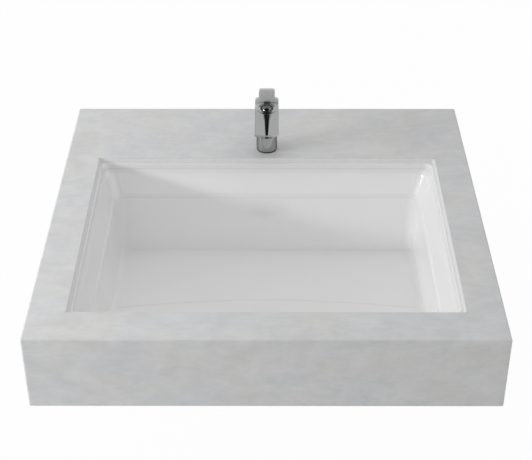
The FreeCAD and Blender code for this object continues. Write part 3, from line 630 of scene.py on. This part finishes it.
def closed_sweep(name, loops):
    """Piece whose closed section runs from loop to loop and back to the first."""
    mesh = bmesh.new()
    rings = [[mesh.verts.new(point) for point in loop] for loop in loops]
    count = len(rings[0])
    for upper, lower in zip(rings, rings[1:] + rings[:1]):
        for k in range(count):
            after = (k + 1) % count
            mesh.faces.new((upper[k], upper[after], lower[after], lower[k]))
    bmesh.ops.recalc_face_normals(mesh, faces=mesh.faces)
    return mesh_piece(name, mesh)


def make_cove(material):
    """Slanted bead of sealant that closes the lip against the cut face of the stone."""
    low = cove_sink - lip_rise
    section = [(0.0, -lip_rise - cove_rise), (cove_width, low), (0.0, low)]
    piece = closed_sweep("cove_bead", [rounded_loop(*point, lip_edge_corner) for point in section])
    piece.data.materials.append(material)
    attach(piece, "base")


def duct_casing():
    """Outside of the overflow duct, from behind the hole down and back to the boss."""
    front = cutout_front + step_inset + step_width - basin_wall - duct_thick - duct_wall / 2
    crest = rim_top - overflow_depth + overflow_radius + duct_wall
    knee = rim_top - foot_depth
    low = boss_bottom + duct_rest
    turn = duct_wall * math.tan(math.pi / 8)
    route = [(front, crest), (front, knee + turn / 2), (front + duct_knee_run, knee - duct_knee_fall)]
    route += [(drain_centre.y, low), (drain_centre.y, low + duct_wall)]
    route += [(front + foot_inset, knee), (front + basin_wall, knee + foot_inset)]
    route += [(front + basin_wall, crest)]
    half = duct_half_width + duct_wall
    mesh = bmesh.new()
    sides = [[mesh.verts.new((x, y, z)) for y, z in route] for x in (-half, half)]
    for k in range(len(route)):
        after = (k + 1) % len(route)
        mesh.faces.new((sides[0][k], sides[0][after], sides[1][after], sides[1][k]))
    for side in sides:
        mesh.faces.new(side)
    bmesh.ops.recalc_face_normals(mesh, faces=mesh.faces)
    return mesh_piece("duct_casing", mesh)


def overflow_mouth():
    """Round cutter for the overflow hole, from inside the bowl to the back of the duct."""
    back = cutout_front + step_inset + step_width - basin_wall - duct_thick + duct_wall / 2
    reach = 2 * foot_inset
    middle = Vector((0.0, back + reach / 2, rim_top - overflow_depth))
    place = Matrix.Translation(middle) @ Matrix.Rotation(math.pi / 2, 4, "X")
    mesh = bmesh.new()
    bmesh.ops.create_cone(mesh, cap_ends=True, segments=round_steps, radius1=overflow_radius,
                          radius2=overflow_radius, depth=reach, matrix=place)
    return mesh_piece("overflow_mouth", mesh)


def combine(piece, other, operation):
    """Join or cut one mesh with another, which is then dropped."""
    change = piece.modifiers.new(operation, "BOOLEAN")
    change.operation = operation
    change.solver = "EXACT"
    change.object = other
    shaped = piece.evaluated_get(bpy.context.evaluated_depsgraph_get())
    data = bpy.data.meshes.new_from_object(shaped)
    piece.modifiers.clear()
    piece.data = data
    bpy.data.objects.remove(other)


def make_basin(material):
    """The glazed basin in one smooth mesh, in place of its faceted solid."""
    piece = closed_sweep("glazed_basin", basin_loops())
    combine(piece, duct_casing(), "UNION")
    combine(piece, overflow_mouth(), "DIFFERENCE")
    piece.data.shade_smooth()
    piece.data.set_sharp_from_angle(angle=sharp_angle)
    piece.data.materials.clear()
    piece.data.materials.append(material)
    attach(piece, "base")
    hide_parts("basin")


def seen_rays(tree):
    """1 for rays that see the white surroundings: from the camera, in gloss and through glass."""
    path = tree.nodes.new("ShaderNodeLightPath")
    seen = path.outputs["Is Camera Ray"]
    for kind in ("Is Glossy Ray", "Is Transmission Ray"):
        either = tree.nodes.new("ShaderNodeMath")
        either.operation = "MAXIMUM"
        tree.links.new(seen, either.inputs[0])
        tree.links.new(path.outputs[kind], either.inputs[1])
        seen = either.outputs[0]
    return seen


def make_floor():
    """White floor that keeps a faint shadow."""
    mesh = bmesh.new()
    bmesh.ops.create_grid(mesh, x_segments=1, y_segments=1, size=floor_half_size)
    floor = mesh_piece("floor", mesh)
    floor.location.z = floor_height
    material, tree, shader = new_material("floor")
    shader.inputs["Base Color"].default_value = floor_tone
    shader.inputs["Roughness"].default_value = floor_roughness
    glow = tree.nodes.new("ShaderNodeEmission")
    glow.inputs["Strength"].default_value = 1.0
    mix = tree.nodes.new("ShaderNodeMixShader")
    tree.links.new(map_range(tree, seen_rays(tree), 0.0, floor_glow), mix.inputs["Fac"])
    tree.links.new(shader.outputs["BSDF"], mix.inputs[1])
    tree.links.new(glow.outputs["Emission"], mix.inputs[2])
    tree.links.new(mix.outputs["Shader"], tree.nodes["Material Output"].inputs["Surface"])
    floor.data.materials.append(material)


def make_world():
    """White surroundings that turn greyer overhead where seen, and give soft light from all sides."""
    world = bpy.data.worlds.new("studio")
    bpy.context.scene.world = world
    world.use_nodes = True
    tree = world.node_tree
    sky = tree.nodes["Background"]
    sky.inputs["Color"].default_value = (1.0, 1.0, 1.0, 1.0)
    place = tree.nodes.new("ShaderNodeTexCoord")
    split = tree.nodes.new("ShaderNodeSeparateXYZ")
    tree.links.new(place.outputs["Generated"], split.inputs["Vector"])
    given = map_range(tree, split.outputs["Z"], fill_low, fill_high)
    shown = map_range(tree, split.outputs["Z"], 1.0, sky_overhead, sky_low, sky_high)
    tree.links.new(map_range(tree, seen_rays(tree), given, shown), sky.inputs["Strength"])


def make_lights():
    """Low, wide key light from the left, slightly in front."""
    azimuth = math.radians(key_azimuth)
    elevation = math.radians(key_elevation)
    travel = Vector((math.cos(azimuth), math.sin(azimuth), -math.tan(elevation))).normalized()
    lamp = bpy.data.lights.new("key", "AREA")
    lamp.shape = "RECTANGLE"
    lamp.size = key_width
    lamp.size_y = key_height
    lamp.energy = key_power
    key = bpy.data.objects.new("key", lamp)
    key.location = key_target - travel * key_distance
    key.rotation_mode = "QUATERNION"
    key.rotation_quaternion = travel.to_track_quat("-Z", "Y")
    bpy.context.collection.objects.link(key)


def make_flag(name, way, elevation, outline):
    """Dark card seen in gloss alone, behind the object where way is 1 and in front where it is -1."""
    mesh = bmesh.new()
    edge = outline + [(-x, y) for x, y in reversed(outline)]
    mesh.faces.new([mesh.verts.new((x, y, 0.0)) for x, y in edge])
    card = mesh_piece(name, mesh)
    rise = math.radians(elevation)
    outward = Vector((0.0, way * math.cos(rise), math.sin(rise)))
    card.location = flag_target + outward * flag_distance
    card.rotation_mode = "QUATERNION"
    card.rotation_quaternion = outward.to_track_quat("Z", "Y")
    material, _, shader = new_material(name)
    shader.inputs["Base Color"].default_value = flag_tone
    shader.inputs["Roughness"].default_value = flag_roughness
    card.data.materials.append(material)
    card.visible_camera = False
    card.visible_diffuse = False
    card.visible_shadow = False


def make_flags():
    """Narrow card behind the object for the spout, and a wide one above the camera for the ball."""
    make_flag("rear_flag", 1.0, stem_elevation, stem_outline)
    make_flag("front_flag", -1.0, dark_elevation, dark_outline)


def make_camera():
    """Camera at the photograph's place, turned by its yaw, pitch and roll."""
    forward = Vector((math.sin(camera_yaw) * math.cos(camera_pitch),
                      math.cos(camera_yaw) * math.cos(camera_pitch), -math.sin(camera_pitch)))
    level_right = Vector((math.cos(camera_yaw), -math.sin(camera_yaw), 0.0))
    level_down = forward.cross(level_right)
    right = level_right * math.cos(camera_roll) + level_down * math.sin(camera_roll)
    up = -forward.cross(right)
    data = bpy.data.cameras.new("camera")
    data.sensor_fit = "HORIZONTAL"
    data.sensor_width = sensor_width
    data.lens = focal_length_px / image_width * sensor_width
    camera = bpy.data.objects.new("camera", data)
    turn = Matrix((right, up, -forward)).transposed()
    camera.matrix_world = Matrix.Translation(camera_place) @ turn.to_4x4()
    bpy.context.collection.objects.link(camera)
    bpy.context.scene.camera = camera


materials = make_materials()
dress_solids(materials)
make_basin(materials["glaze"])
make_cove(materials["silicone"])
make_floor()
make_world()
make_lights()
make_flags()
make_camera()
bpy.context.scene.view_settings.view_transform = "Standard"
